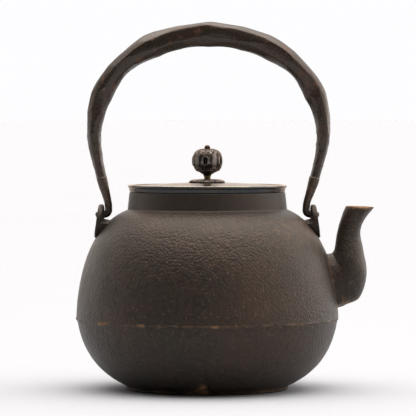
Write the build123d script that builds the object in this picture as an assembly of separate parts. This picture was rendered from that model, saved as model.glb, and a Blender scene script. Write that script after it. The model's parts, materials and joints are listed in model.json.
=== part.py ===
"""Iron kettle for tea: a round cast pot with an S-shaped spout, two disc lugs,
a hollow forged bail handle hooked through the lugs, and a bronze lid with a
pierced blossom knob. The pot is modelled as its two mould halves, a bowl and a
shoulder that meet at the seam.

Frame: millimetres, +Z up, +X towards the spout. The origin is the centre of the
flat foot that the kettle stands on, on the axis of the pot.
"""

import os
from math import cos, radians, tan

from build123d import *

# ---------------------------------------------------------------- pot casting
BODY_RADIUS = 80.0        # at the girth, just above the mould seam
BODY_WALL = 2.6           # casting thickness of the bowl and shoulder
FOOT_RADIUS = 50.0        # flat disc that the pot stands on
FOOT_HEIGHT = 2.2         # low upright edge of the foot
FLOOR_THICKNESS = 3.2     # bottom of the pot
SEAM_HEIGHT = 43.0        # mould seam round the girth
SEAM_STEP = 0.6           # the lower half is cast this much smaller
SHOULDER_HEIGHT = 109.8   # where the neck rises from the shoulder
NECK_RADIUS = 48.8        # outside, at the foot of the neck
NECK_HEIGHT = 9.8
NECK_TAPER = 1.1          # the neck is this much narrower at its rim
NECK_WALL = 3.4

# --------------------------------------------------------------------- spout
SPOUT_FOOT = 49.0         # lowest point of the spout's root
SPOUT_HEIGHT = 62.6       # from that point up to the pouring lip
SPOUT_WALL = 2.3
LIP_WALL = 1.7
SPOUT_PORT_RADIUS = 8.5   # hole through the pot wall behind the spout
PORT_SHARE = 0.26         # height of that hole, as a share of the spout's
PORT_REACH = 5.0          # the drill runs this far past the wall, both ways

# ---------------------------------------------------------------------- lugs
LUG_RADIUS = 10.2         # disc, seen from its side
LUG_THICKNESS = 4.3       # at the hook hole
LUG_OFFSET = 14.1         # from the neck to the lug's inner face
LUG_STAND = 9.76          # hook hole above the shoulder surface
LUG_ROOT_GAP = 0.4        # from the hook's underside to the top of the lug's root
LUG_ROOT_REACH = 4.4      # the root runs this far in towards the neck
LUG_ROOT_FALL = 1.0       # and falls this much on the way
LUG_ROOT_SLOPE = 13.0     # degrees that it falls to each side, clear of the swung leg
LUG_BOSS_RADIUS = 4.0     # flat ring round the hole on the lug's inner face
LUG_BEVEL = 15.0          # degrees that the inner face falls back outside that ring
LUG_LEAN = 8.0            # degrees that the outer face leans in at the top
LUG_DISH = 0.6            # depth of the dished outer face
LUG_DISH_RIM = 1.9        # width of the raised border round the dish
LUG_SINK = 8.0            # the disc is cut this far past the lug's faces
HOLE_BELOW_TOP = 6.0      # hook hole below the top of the disc

# -------------------------------------------------------------------- handle
HOOK_RADIUS = 2.2         # round end that passes through the lug
HOOK_CLEARANCE = 0.5      # radial, in the lug's hole
LEG_STEP = 0.05           # the leg is forged this much thicker than the pin
HOOK_GAP = 0.5            # between the upright leg and the lug's inner face
TIP_STAND = 1.2           # how far the pin's rounded tip stands out of the lug
TIP_ROUNDING = 0.55       # of the tip, as a share of the pin's radius
LEG_EASE = 3.5            # straight stretch of the leg above the bend
HANDLE_RISE = 109.6       # crown centreline above the hook holes
HANDLE_WAIST_RISE = 50.4  # height of the widest place above the hook holes
HANDLE_BULGE = 9.7        # widest place outside the legs' feet
GRIP_WALL = 1.4           # sheet that the hollow grip is rolled from
GRIP_START = 0.36         # where the hollow grip takes over from the solid hook
TANG_LENGTH = 7.0         # solid tang brazed inside the grip
TANG_CLEARANCE = 0.15
LEG_MIDDLE = (0.18, 5.1, 5.4)  # section of the solid leg between hook and grip

# Thickness (in the plane of the arch) and width (across it) along one half of
# the grip: 0 to 1 runs up the leg, and 1 to 2 along the arch to the crown.
GRIP_SECTIONS = [
    (GRIP_START, 6.0, 6.6),
    (0.58, 7.2, 8.8),
    (0.82, 8.5, 10.4),
    (1.03, 9.6, 11.2),
    (1.14, 11.4, 10.8),
    (1.27, 13.5, 10.0),
    (1.42, 12.1, 11.8),
    (1.54, 12.6, 13.2),
    (1.66, 14.8, 13.8),
    (1.80, 14.2, 12.6),
    (1.91, 14.2, 11.2),
    (2.00, 15.4, 10.4),
]

# ----------------------------------------------------------------------- lid
LID_OVERHANG = 0.9        # beyond the rim of the neck
LID_EDGE = 4.2            # height of the lid's edge
LID_PLATE = 2.0           # thickness of the plate inside the edge
LID_DOME = 2.4            # rise from the edge to the knob's seat
LID_SEAT_RADIUS = 12.0    # flat seat under the blossom washer
LID_BEAD = 1.2            # width of the raised bead round the edge
LID_DIP = 0.5             # the plate meets the bead this much below its top
LID_ROUNDING = 0.4        # bevel on the edge's corners
SKIRT_DEPTH = 9.0         # reaches this far into the neck
SKIRT_WALL = 1.5
SKIRT_CLEARANCE = 0.7     # radial, in the mouth

# ---------------------------------------------------------------------- knob
PETALS = 5
PIN_RADIUS = 1.4
PIN_CLEARANCE = 0.1
WASHER_PETAL_RADIUS = 5.6
WASHER_RADIUS = 11.3      # over the petals
WASHER_EDGE = 1.1
WASHER_CROWN = 2.2
COLLAR_HEIGHT = 2.0
COLLAR_RADIUS = 2.2
KNOB_RADIUS = 9.4
KNOB_HEIGHT = 15.2        # of the ball, without its foot and the bead
KNOB_FOOT_HEIGHT = 1.6
KNOB_WALL = 1.3
KNOB_TURN = -7.5          # degrees from the front to the first pierced hole
SLOT_WIDTH = 2.0          # upright slots at the ball's girth
SLOT_HEIGHT = 4.4
EYE_RADIUS = 0.8          # round holes between the slots, above and below
KNOB_FOOT_FLARE = 20.0    # degrees
BEAD_SINK = 0.4           # the bead's centre above the top of the ball
BEAD_RADIUS = 2.1
BACK_WASHER_RADIUS = 6.0
BACK_WASHER_THICKNESS = 1.0
RIVET_RADIUS = 2.6
RIVET_HEIGHT = 1.2

# ------------------------------------------------------------ derived heights
RIM_HEIGHT = SHOULDER_HEIGHT + NECK_HEIGHT
RIM_RADIUS = NECK_RADIUS - NECK_TAPER
MOUTH_RADIUS = RIM_RADIUS - NECK_WALL
LID_RADIUS = RIM_RADIUS + LID_OVERHANG
SKIRT_RADIUS = MOUTH_RADIUS - SKIRT_CLEARANCE
SEAT_HEIGHT = RIM_HEIGHT + LID_EDGE + LID_DOME
PLATE_UNDERSIDE = SEAT_HEIGHT - LID_DOME - LID_PLATE
COLLAR_BASE = SEAT_HEIGHT + WASHER_CROWN
KNOB_BASE = COLLAR_BASE + COLLAR_HEIGHT
BALL_BASE = KNOB_BASE + KNOB_FOOT_HEIGHT
BALL_TOP = BALL_BASE + KNOB_HEIGHT

# Bezier pulls of the pot's two curves, as shares of their width and height.
BOWL_PULLS = [(0.328, 0.113), (0.884, 0.324)]
SHOULDER_PULLS = [(0.014, 0.376), (0.242, 0.860)]


def between(start, end, share_across, share_up):
    """The point at those shares of the way from start to end."""
    return (
        start[0] + (end[0] - start[0]) * share_across,
        start[1] + (end[1] - start[1]) * share_up,
    )


def pulled_curve(start, end, pulls):
    """Control points (radius, height) of a cubic from start to end."""
    return [start, *(between(start, end, *pull) for pull in pulls), end]


def curve_point(points, t):
    """The point of a cubic Bezier at t."""
    weights = ((1 - t) ** 3, 3 * t * (1 - t) ** 2, 3 * t * t * (1 - t), t**3)
    return tuple(sum(w * p[k] for w, p in zip(weights, points)) for k in (0, 1))


def curve_direction(points, t):
    """Tangent vector of a cubic Bezier at t."""
    weights = ((1 - t) ** 2, 2 * t * (1 - t), t * t)
    steps = [(b[0] - a[0], b[1] - a[1]) for a, b in zip(points, points[1:])]
    return tuple(sum(w * s[k] for w, s in zip(weights, steps)) for k in (0, 1))


SHOULDER_CURVE = pulled_curve(
    (BODY_RADIUS, SEAM_HEIGHT), (NECK_RADIUS, SHOULDER_HEIGHT), SHOULDER_PULLS
)


def shoulder_height(radius):
    """Height of the shoulder's surface at that radius, by halving."""
    low, high = 0.0, 1.0
    for _ in range(40):
        middle = (low + high) / 2
        if curve_point(SHOULDER_CURVE, middle)[0] > radius:
            low = middle
        else:
            high = middle
    return curve_point(SHOULDER_CURVE, low)[1]


# Where the hooks pass through the lugs.
LUG_INNER = NECK_RADIUS + LUG_OFFSET
LUG_OUTER = LUG_INNER + LUG_THICKNESS
HINGE_HEIGHT = shoulder_height(LUG_INNER + LUG_THICKNESS / 2) + LUG_STAND
LUG_CENTRE = HINGE_HEIGHT + HOLE_BELOW_TOP - LUG_RADIUS
LEG_X = LUG_INNER - HOOK_GAP - HOOK_RADIUS
BEND_RADIUS = LUG_INNER - LEG_X
BEND_TOP = HINGE_HEIGHT + BEND_RADIUS


def upright(points):
    """(x, z) pairs as points in the plane of the spout and handle."""
    return [Vector(x, 0, z) for x, z in points]


def ring_of(profile):
    """Solid of revolution about Z of a closed profile in the XZ plane."""
    return revolve(make_face(profile), Axis.Z)


def ellipse_face(reach, half_width):
    """Ellipse of four curves that always starts on its first axis."""
    a, b = reach, half_width
    ka, kb = 0.5523 * a, 0.5523 * b
    return make_face(
        [
            Bezier((a, 0), (a, kb), (ka, b), (0, b)),
            Bezier((0, b), (-ka, b), (-a, kb), (-a, 0)),
            Bezier((-a, 0), (-a, -kb), (-ka, -b), (0, -b)),
            Bezier((0, -b), (ka, -b), (a, -kb), (a, 0)),
        ]
    )


def bar(start, end, radius):
    """Round bar from one point to another."""
    axis = Vector(*end) - Vector(*start)
    plane = Plane(origin=start, z_dir=axis)
    return extrude(plane * Circle(radius), axis.length)


# ------------------------------------------------------------------ pot
def pot_outline(radius, foot_radius, foot, floor, neck, rim, shoulder, step):
    """Profile from the axis out over bowl, seam, shoulder and neck."""
    bowl = pulled_curve((foot_radius, foot), (radius - step, SEAM_HEIGHT), BOWL_PULLS)
    top = pulled_curve((radius, SEAM_HEIGHT), (neck, shoulder), SHOULDER_PULLS)
    lines = [
        Polyline(*upright([(0, floor), (foot_radius, floor)])),
        Bezier(*upright(bowl)),
        Bezier(*upright(top)),
        Polyline(*upright([(neck, shoulder), (rim, RIM_HEIGHT), (0, RIM_HEIGHT)])),
        Line(*upright([(0, RIM_HEIGHT), (0, floor)])),
    ]
    if foot > floor:
        lines.append(Line(*upright([(foot_radius, floor), (foot_radius, foot)])))
    if step:
        lines.append(Line(*upright([bowl[-1], top[0]])))
    return lines


def pot_envelope():
    """The pot as a filled solid, which spout and lugs are fitted to."""
    return ring_of(
        pot_outline(
            BODY_RADIUS, FOOT_RADIUS, FOOT_HEIGHT, 0, NECK_RADIUS, RIM_RADIUS,
            SHOULDER_HEIGHT, SEAM_STEP,
        )
    )


def pot_cavity():
    """The space inside the pot, open at the mouth."""
    return ring_of(
        pot_outline(
            BODY_RADIUS - BODY_WALL, FOOT_RADIUS - BODY_WALL, FLOOR_THICKNESS,
            FLOOR_THICKNESS, MOUTH_RADIUS, MOUTH_RADIUS, SHOULDER_HEIGHT - BODY_WALL, 0,
        )
    )


# ---------------------------------------------------------------- spout
def spout_stations():
    """Back point, front point and half width of each section, root to lip.

    Distances go outwards from the girth of the pot, and heights up from the
    spout's foot as shares of its height.
    """
    stations = [
        ((-12.0, 0.530), (-12.0, 0.010), 12.2),
        ((-4.5, 0.522), (5.0, 0.012), 12.6),
        ((-3.4, 0.545), (13.6, 0.122), 12.7),
        ((-1.9, 0.582), (17.4, 0.330), 12.1),
        ((-1.1, 0.640), (15.8, 0.566), 9.8),
        ((-0.2, 0.735), (13.9, 0.725), 7.6),
        ((2.1, 0.868), (16.1, 0.860), 7.5),
        ((3.6, 0.945), (19.2, 0.943), 8.1),
        ((4.5, 1.000), (21.6, 1.000), 8.7),
    ]
    return [
        tuple(
            Vector(BODY_RADIUS + out, 0, SPOUT_FOOT + up * SPOUT_HEIGHT)
            for out, up in (back, front)
        )
        + (half_width,)
        for back, front, half_width in stations
    ]


def oval(back, front, half_width, inset=0.0):
    """Elliptical face with one axis from back to front and the other along Y."""
    across = front - back
    plane = Plane(origin=(back + front) / 2, x_dir=across, z_dir=across.cross(Vector(0, 1, 0)))
    return plane * ellipse_face(across.length / 2 - inset, half_width - inset)


def spout_bore(envelope):
    """The water passage, from inside the pot out through the lip."""
    stations = spout_stations()
    insets = [SPOUT_WALL] * (len(stations) - 1) + [LIP_WALL]
    sections = [oval(*station, inset) for station, inset in zip(stations, insets)]
    back, front, half_width = stations[-1]
    lift = Vector(0.6, 0, 2.0)
    sections.append(oval(back + lift, front + lift, half_width, LIP_WALL))
    port_height = SPOUT_FOOT + PORT_SHARE * SPOUT_HEIGHT
    port = bar(
        (BODY_RADIUS - 4 * BODY_WALL - PORT_REACH, 0, port_height),
        (BODY_RADIUS + PORT_REACH, 0, port_height),
        SPOUT_PORT_RADIUS,
    )
    return (loft(sections) - envelope) + port


def spout(envelope, bore):
    """Cast spout, fitted to the outside of the pot."""
    outside = loft([oval(*station) for station in spout_stations()])
    return outside - envelope - bore


# ----------------------------------------------------------------- lugs
def leg_room(ledge):
    """Space that the leg sweeps beside the lug: a bevelled disc about the hinge
    axis, above the two slopes of the lug's root."""
    reach = 2 * LUG_RADIUS
    drop = reach * tan(radians(LUG_ROOT_SLOPE))
    above = Polyline(
        (0, ledge),
        (reach, ledge - drop),
        (reach, ledge + reach),
        (-reach, ledge + reach),
        (-reach, ledge - drop),
        close=True,
    )
    inside = Plane(origin=(LUG_INNER - LUG_SINK, 0, 0), x_dir=(0, 1, 0), z_dir=(1, 0, 0))
    fall = (reach - LUG_BOSS_RADIUS) * tan(radians(LUG_BEVEL))
    profile = Polyline(
        *upright(
            [
                (LUG_INNER - LUG_SINK, HINGE_HEIGHT),
                (LUG_INNER, HINGE_HEIGHT),
                (LUG_INNER, HINGE_HEIGHT + LUG_BOSS_RADIUS),
                (LUG_INNER + fall, HINGE_HEIGHT + reach),
                (LUG_INNER - LUG_SINK, HINGE_HEIGHT + reach),
            ]
        ),
        close=True,
    )
    swept = revolve(make_face(profile), Axis((0, 0, HINGE_HEIGHT), (1, 0, 0)))
    return swept & extrude(inside * make_face(above), LUG_SINK + reach)


def lug(envelope):
    """Disc lug on the spout side, with a root that runs down to the shoulder."""
    lean = tan(radians(LUG_LEAN))
    top = HINGE_HEIGHT + HOLE_BELOW_TOP
    bottom = top - 2 * LUG_RADIUS
    outer_top = LUG_OUTER - HOLE_BELOW_TOP * lean
    outer_bottom = outer_top + (top - bottom) * lean
    ledge = HINGE_HEIGHT - HOOK_RADIUS - LUG_ROOT_GAP
    side = Polyline(
        *upright(
            [
                (LUG_INNER, top),
                (outer_top, top),
                (outer_bottom, bottom),
                (LUG_INNER - LUG_ROOT_REACH, bottom),
                (LUG_INNER - LUG_ROOT_REACH, ledge - LUG_ROOT_FALL),
                (LUG_INNER, ledge),
            ]
        ),
        close=True,
    )
    slab = extrude(make_face(side), LUG_RADIUS, both=True)
    disc = bar(
        (LUG_INNER - LUG_SINK, 0, LUG_CENTRE), (LUG_OUTER + LUG_SINK, 0, LUG_CENTRE), LUG_RADIUS
    )
    body = (slab & disc) - leg_room(ledge)
    face = Plane(
        origin=((outer_top + outer_bottom) / 2, 0, LUG_CENTRE),
        z_dir=(cos(radians(LUG_LEAN)), 0, cos(radians(90 - LUG_LEAN))),
    )
    body -= extrude(face * Circle(LUG_RADIUS - LUG_DISH_RIM), LUG_DISH, both=True)
    body -= bar(
        (LUG_INNER - LUG_SINK, 0, HINGE_HEIGHT),
        (LUG_OUTER + LUG_SINK, 0, HINGE_HEIGHT),
        HOOK_RADIUS + HOOK_CLEARANCE,
    )
    return (body - envelope).solids().sort_by(SortBy.VOLUME)[-1]


# --------------------------------------------------------------- handle
def leg_curve():
    """Centreline from the top of the hook's bend up to the widest place."""
    waist = (LEG_X + HANDLE_BULGE, HINGE_HEIGHT + HANDLE_WAIST_RISE)
    start = (LEG_X + 0.3, BEND_TOP + LEG_EASE)
    rise = waist[1] - start[1]
    return [
        start,
        (start[0] + 2.4, start[1] + 0.26 * rise),
        (waist[0] + 0.7, waist[1] - 0.25 * rise),
        waist,
    ]


def arch_curve():
    """Centreline from the widest place over to the crown, on the axis."""
    waist = leg_curve()[-1]
    crown = HINGE_HEIGHT + HANDLE_RISE
    rise = crown - waist[1]
    return [
        waist,
        (waist[0] - 1.0, waist[1] + 0.554 * rise),
        (0.66 * waist[0], crown - 0.027 * rise),
        (0, crown),
    ]


def handle_point(along):
    """Point and direction of the centreline, 0 to 1 on the leg and on to 2."""
    points, t = (leg_curve(), along) if along <= 1 else (arch_curve(), along - 1)
    x, z = curve_point(points, t)
    across, up = curve_direction(points, t)
    return Vector(x, 0, z), Vector(across, 0, up)


def grip_section(along, thickness, width, mirrored=False):
    """Oval section of the grip, square to its centreline."""
    place, direction = handle_point(along)
    plane = Plane(origin=place, x_dir=direction.cross(Vector(0, 1, 0)), z_dir=direction)
    if mirrored:
        plane = Plane(
            origin=(-place.X, 0, place.Z),
            x_dir=(-plane.x_dir.X, 0, plane.x_dir.Z),
            z_dir=(direction.X, 0, -direction.Z),
        )
    return plane * ellipse_face(thickness / 2, width / 2)


def grip_loft(wall):
    """The grip's solid from end to end, taken in by wall all round."""
    sizes = [(along, t - 2 * wall, w - 2 * wall) for along, t, w in GRIP_SECTIONS]
    right = [grip_section(*size) for size in sizes]
    left = [grip_section(*size, mirrored=True) for size in sizes[:-1]]
    return loft(right + left[::-1])


def handle_grip():
    """Hollow grip rolled from sheet, open at both ends for the hook tangs."""
    return grip_loft(0) - grip_loft(GRIP_WALL)


def handle_hook():
    """Solid forged end on the spout side: leg, bend and round pin."""
    bend = Plane.XZ * CenterArc((LUG_INNER, BEND_TOP), BEND_RADIUS, 180, 90)
    pin = Line((LUG_INNER, 0, HINGE_HEIGHT), (LUG_OUTER + TIP_STAND, 0, HINGE_HEIGHT))
    root = (LEG_X, 0, BEND_TOP + 1.0)
    path = Line(root, (LEG_X, 0, BEND_TOP)) + bend + pin
    start = Plane(origin=root, z_dir=(0, 0, -1))
    hook = sweep(start * Circle(HOOK_RADIUS), path=path)
    tip = hook.faces().sort_by(Axis.X)[-1].edges()
    hook = fillet(tip, TIP_ROUNDING * HOOK_RADIUS)
    shoulder_along, thickness, width = GRIP_SECTIONS[0]
    stations = [(0.0, 2 * HOOK_RADIUS + 4 * LEG_STEP, 2 * HOOK_RADIUS + 4 * LEG_STEP)]
    stations += [LEG_MIDDLE, (shoulder_along, thickness, width)]
    foot = Plane(origin=(LEG_X, 0, BEND_TOP), x_dir=(1, 0, 0), z_dir=(0, 0, 1)) * ellipse_face(
        HOOK_RADIUS + LEG_STEP, HOOK_RADIUS + LEG_STEP
    )
    hook += loft([foot] + [grip_section(*station) for station in stations])
    place, direction = handle_point(shoulder_along)
    tang_radius = min(thickness, width) / 2 - GRIP_WALL - TANG_CLEARANCE
    along = direction.normalized()
    hook += bar(place - along, place + along * TANG_LENGTH, tang_radius)
    return hook


# ------------------------------------------------------------------ lid
def lid_plate():
    """Cast lid: heavy edge resting on the rim, thin domed plate inside it."""
    edge = RIM_HEIGHT + LID_EDGE
    hub = PIN_RADIUS + PIN_CLEARANCE
    inner = SKIRT_RADIUS - SKIRT_WALL
    outline = [
        Polyline(
            *upright(
                [
                    (hub, PLATE_UNDERSIDE + LID_DOME),
                    (hub, SEAT_HEIGHT),
                    (LID_SEAT_RADIUS, SEAT_HEIGHT),
                ]
            )
        ),
        Bezier(
            *upright(
                [
                    (LID_SEAT_RADIUS, SEAT_HEIGHT),
                    (0.6 * LID_RADIUS, SEAT_HEIGHT - 0.2 * LID_DOME),
                    (LID_RADIUS - 2 * LID_BEAD, edge - LID_DIP),
                ]
            )
        ),
        Polyline(
            *upright(
                [
                    (LID_RADIUS - 2 * LID_BEAD, edge - LID_DIP),
                    (LID_RADIUS - LID_BEAD, edge),
                    (LID_RADIUS - LID_ROUNDING, edge),
                    (LID_RADIUS, edge - LID_ROUNDING),
                    (LID_RADIUS, RIM_HEIGHT + LID_ROUNDING),
                    (LID_RADIUS - LID_ROUNDING, RIM_HEIGHT),
                    (inner, RIM_HEIGHT),
                    (inner, PLATE_UNDERSIDE),
                ]
            )
        ),
        Bezier(
            *upright(
                [
                    (inner, PLATE_UNDERSIDE),
                    (0.6 * LID_RADIUS, PLATE_UNDERSIDE + 0.8 * LID_DOME),
                    (LID_SEAT_RADIUS, PLATE_UNDERSIDE + LID_DOME),
                ]
            )
        ),
        Line(
            *upright(
                [
                    (LID_SEAT_RADIUS, PLATE_UNDERSIDE + LID_DOME),
                    (hub, PLATE_UNDERSIDE + LID_DOME),
                ]
            )
        ),
    ]
    return ring_of(outline)


def lid_skirt():
    """Ring brazed under the lid, which keeps it centred in the mouth."""
    skirt = Pos(0, 0, RIM_HEIGHT - SKIRT_DEPTH) * extrude(
        Circle(SKIRT_RADIUS) - Circle(SKIRT_RADIUS - SKIRT_WALL), SKIRT_DEPTH
    )
    return chamfer(skirt.edges().group_by(Axis.Z)[0], SKIRT_WALL / 4)


# ----------------------------------------------------------------- knob
def pin_hole(low, high):
    """Clearance hole for the knob's pin between two heights."""
    return bar((0, 0, low), (0, 0, high), PIN_RADIUS + PIN_CLEARANCE)


def knob_washer():
    """Blossom washer: five round petals and a raised middle."""
    reach = WASHER_RADIUS - WASHER_PETAL_RADIUS
    flat = Circle(reach)
    for petal in PolarLocations(reach, PETALS, start_angle=KNOB_TURN - 90):
        flat += petal * Circle(WASHER_PETAL_RADIUS)
    washer = Pos(0, 0, SEAT_HEIGHT) * extrude(flat, WASHER_EDGE)
    rise = WASHER_CROWN - WASHER_EDGE
    middle = extrude(Circle(reach), rise, taper=45)
    washer += Pos(0, 0, SEAT_HEIGHT + WASHER_EDGE) * middle
    return washer - pin_hole(SEAT_HEIGHT - 1, COLLAR_BASE + 1)


def knob_collar():
    """Brass collar between the washer and the ball."""
    collar = bar((0, 0, COLLAR_BASE), (0, 0, KNOB_BASE), COLLAR_RADIUS)
    return collar - pin_hole(COLLAR_BASE - 1, KNOB_BASE + 1)


def ball_profile(inset):
    """Rounded meridian of the ball from its foot to its top."""
    radius = KNOB_RADIUS - inset
    low, high = BALL_BASE + inset, BALL_TOP - inset
    middle = (low + high) / 2
    pull = 0.66
    reach = pull * (high - middle)
    return [
        Bezier(*upright([(0, low), (pull * radius, low), (radius, middle - reach), (radius, middle)])),
        Bezier(*upright([(radius, middle), (radius, middle + reach), (pull * radius, high), (0, high)])),
        Line(*upright([(0, high), (0, low)])),
    ]


def knob():
    """Hollow ball, pierced by slots at the girth and round holes above."""
    foot = Pos(0, 0, KNOB_BASE) * extrude(
        Circle(COLLAR_RADIUS), KNOB_FOOT_HEIGHT + KNOB_WALL, taper=-KNOB_FOOT_FLARE
    )
    ball = ring_of(ball_profile(0)) + foot - ring_of(ball_profile(KNOB_WALL))
    ball -= pin_hole(KNOB_BASE - 1, BALL_TOP + 1)
    girth = (BALL_BASE + BALL_TOP) / 2
    for index in range(PETALS):
        turn = KNOB_TURN - 90 + index * 360 / PETALS
        facing = Plane(origin=(0, 0, girth), x_dir=(0, 1, 0), z_dir=(1, 0, 0))
        slot = facing * Ellipse(SLOT_WIDTH / 2, SLOT_HEIGHT / 2)
        ball -= Rot(0, 0, turn) * extrude(slot, 2 * KNOB_RADIUS)
        for slope in (1.0, -0.8):
            eye = Plane(origin=(0, 0, girth), z_dir=(1, 0, slope)) * Circle(EYE_RADIUS)
            ball -= Rot(0, 0, turn + 180 / PETALS) * extrude(eye, 2 * KNOB_RADIUS)
    return ball


def back_washer():
    """Plain washer under the lid, which the pin is riveted over."""
    top = PLATE_UNDERSIDE + LID_DOME
    washer = bar((0, 0, top - BACK_WASHER_THICKNESS), (0, 0, top), BACK_WASHER_RADIUS)
    return washer - pin_hole(top - 3, top + 1)


def knob_pin():
    """Brass pin through the whole lid: bead on top, riveted tail below."""
    tail = PLATE_UNDERSIDE + LID_DOME - BACK_WASHER_THICKNESS
    bead_height = BALL_TOP + BEAD_SINK
    pin = bar((0, 0, tail - RIVET_HEIGHT / 2), (0, 0, bead_height), PIN_RADIUS)
    bead_cut = Pos(0, 0, BALL_TOP + BEAD_RADIUS) * Box(3 * BEAD_RADIUS, 3 * BEAD_RADIUS, 2 * BEAD_RADIUS)
    bead = Pos(0, 0, bead_height) * Sphere(BEAD_RADIUS)
    pin += bead & bead_cut
    rivet = Pos(0, 0, tail) * extrude(Circle(RIVET_RADIUS), -RIVET_HEIGHT, taper=20)
    return pin + rivet


def build():
    """Every piece by its node name."""
    envelope = pot_envelope()
    bore = spout_bore(envelope)
    right_lug = lug(envelope)
    right_hook = handle_hook()
    casting = envelope - pot_cavity() - bore
    below_seam = bar((0, 0, -1), (0, 0, SEAM_HEIGHT), 2 * BODY_RADIUS)
    return {
        "pot_bowl": casting & below_seam,
        "pot_shoulder": casting - below_seam,
        "spout": spout(envelope, bore),
        "lug_right": right_lug,
        "lug_left": mirror(right_lug, Plane.YZ),
        "handle_grip": handle_grip(),
        "handle_hook_right": right_hook,
        "handle_hook_left": mirror(right_hook, Plane.YZ),
        "lid_plate": lid_plate(),
        "lid_skirt": lid_skirt(),
        "knob_washer": knob_washer(),
        "knob_collar": knob_collar(),
        "knob": knob(),
        "knob_pin": knob_pin(),
        "lid_back_washer": back_washer(),
    }


if __name__ == "__main__":
    os.makedirs("parts", exist_ok=True)
    for name, shape in build().items():
        export_step(shape, f"parts/{name}.step")
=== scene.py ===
"""Looks of an old iron kettle: sand-cast pot, spout and lugs, hammered hollow bail handle,
bronze lid with a pierced blossom knob. Metres, +Z up, +X towards the spout."""

import json

import bmesh
import bpy
import numpy as np
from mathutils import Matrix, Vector


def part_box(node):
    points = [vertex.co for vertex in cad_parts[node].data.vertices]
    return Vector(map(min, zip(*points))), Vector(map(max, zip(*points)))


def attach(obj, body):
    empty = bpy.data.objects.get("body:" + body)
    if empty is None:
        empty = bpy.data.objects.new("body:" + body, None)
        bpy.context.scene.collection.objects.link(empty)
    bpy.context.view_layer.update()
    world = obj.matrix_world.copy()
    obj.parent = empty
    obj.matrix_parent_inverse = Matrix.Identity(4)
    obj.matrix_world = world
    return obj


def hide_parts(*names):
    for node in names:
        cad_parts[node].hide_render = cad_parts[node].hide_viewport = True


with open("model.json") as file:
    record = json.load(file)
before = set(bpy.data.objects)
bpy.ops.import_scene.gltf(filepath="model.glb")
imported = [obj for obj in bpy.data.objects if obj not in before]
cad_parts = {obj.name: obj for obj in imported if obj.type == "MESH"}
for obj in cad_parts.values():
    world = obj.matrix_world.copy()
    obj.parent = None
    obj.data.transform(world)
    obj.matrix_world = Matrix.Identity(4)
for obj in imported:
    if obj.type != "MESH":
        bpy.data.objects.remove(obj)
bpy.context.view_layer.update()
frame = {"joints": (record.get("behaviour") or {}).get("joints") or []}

MM = 0.001
POT_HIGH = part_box("pot_shoulder")[1]
LID_LOW, LID_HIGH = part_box("lid_plate")
SKIRT_LOW, SKIRT_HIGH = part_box("lid_skirt")
KNOB_LOW, KNOB_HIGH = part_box("knob")
HINGE = Vector(next(j for j in frame["joints"] if j["name"] == "handle_swing")["pos_m"])

# ------------------------------------------------------------------- sizes
GIRTH = POT_HIGH.x
RIM_LIFT = 1.1 * MM  # the rim and the lid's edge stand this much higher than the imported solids
RIM = POT_HIGH.z + RIM_LIFT
SEAM = 43.0 * MM
SEAM_STEP = 0.6 * MM
FOOT = 49.5 * MM
FOOT_HEIGHT = 2.2 * MM
SHOULDER = 109.8 * MM
NECK = 48.8 * MM
NECK_RIM = 47.7 * MM
WALL = 2.6 * MM
FLOOR = 3.2 * MM
MOUTH = 44.3 * MM
BOWL_PULLS = [(0.31, 0.116), (0.884, 0.324)]
SHOULDER_PULLS = [(0.014, 0.376), (0.242, 0.860)]


# ------------------------------------------------------------------- curves
def ramp(low, high, values):
    """Smooth step: 0 below low, 1 above high, and 3t^2 - 2t^3 between them."""
    t = np.clip((values - low) / (high - low), 0, 1)
    return t * t * (3 - 2 * t)


def hump(values, width):
    """Bell curve of the values: exp(-(v / width)^2)."""
    return np.exp(-((values / width) ** 2))


def circle(count):
    """Angles of that many even steps round a full turn."""
    return np.linspace(0, 2 * np.pi, count, endpoint=False)


def blend(a, b, share):
    """a and b mixed in that share."""
    return a + (b - a) * share


def cubic(points, t):
    """Cubic Bezier curve through its first and last control point, one row for each t."""
    p = np.array(points, float)
    t = np.asarray(t)[:, None]
    first = (1 - t) ** 3 * p[0] + 3 * t * (1 - t) ** 2 * p[1]
    return first + 3 * t * t * (1 - t) * p[2] + t**3 * p[3]


def pulled(start, end, pulls):
    """Cubic from start to end whose pulls are shares of the way across and up."""
    start, end = np.array(start), np.array(end)
    return [start, *(start + (end - start) * np.array(pull) for pull in pulls), end]


def flow(stations, values, at):
    """Hermite curve through values at their stations, whose slopes are the mean slopes there."""
    stations, values = np.array(stations, float), np.array(values, float)
    if values.ndim == 1:
        values = values[:, None]
    slopes = np.gradient(values, stations, axis=0)
    at = np.clip(at, stations[0], stations[-1])
    cell = np.clip(np.searchsorted(stations, at) - 1, 0, len(stations) - 2)
    span = (stations[cell + 1] - stations[cell])[:, None]
    t = (at - stations[cell])[:, None] / span
    curve = (2 * t**3 - 3 * t**2 + 1) * values[cell] + (t**3 - 2 * t**2 + t) * span * slopes[cell]
    curve += (3 * t**2 - 2 * t**3) * values[cell + 1] + (t**3 - t**2) * span * slopes[cell + 1]
    return curve


def directions(line):
    """Unit tangents of a line in the XZ plane, and the same turned by 90 degrees."""
    tangent = np.gradient(line, axis=0)
    tangent /= np.linalg.norm(tangent, axis=1, keepdims=True)
    return tangent, np.stack([-tangent[:, 1], tangent[:, 0]], axis=1)


def carried(line, across, reach, side):
    """A section carried along a line in the XZ plane: from each point of the line it goes
    reach times that point's direction across, and side along Y."""
    return np.stack(
        [line[:, :1] + across[:, :1] * reach, side, line[:, 1:] + across[:, 1:] * reach], axis=-1
    )


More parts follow.
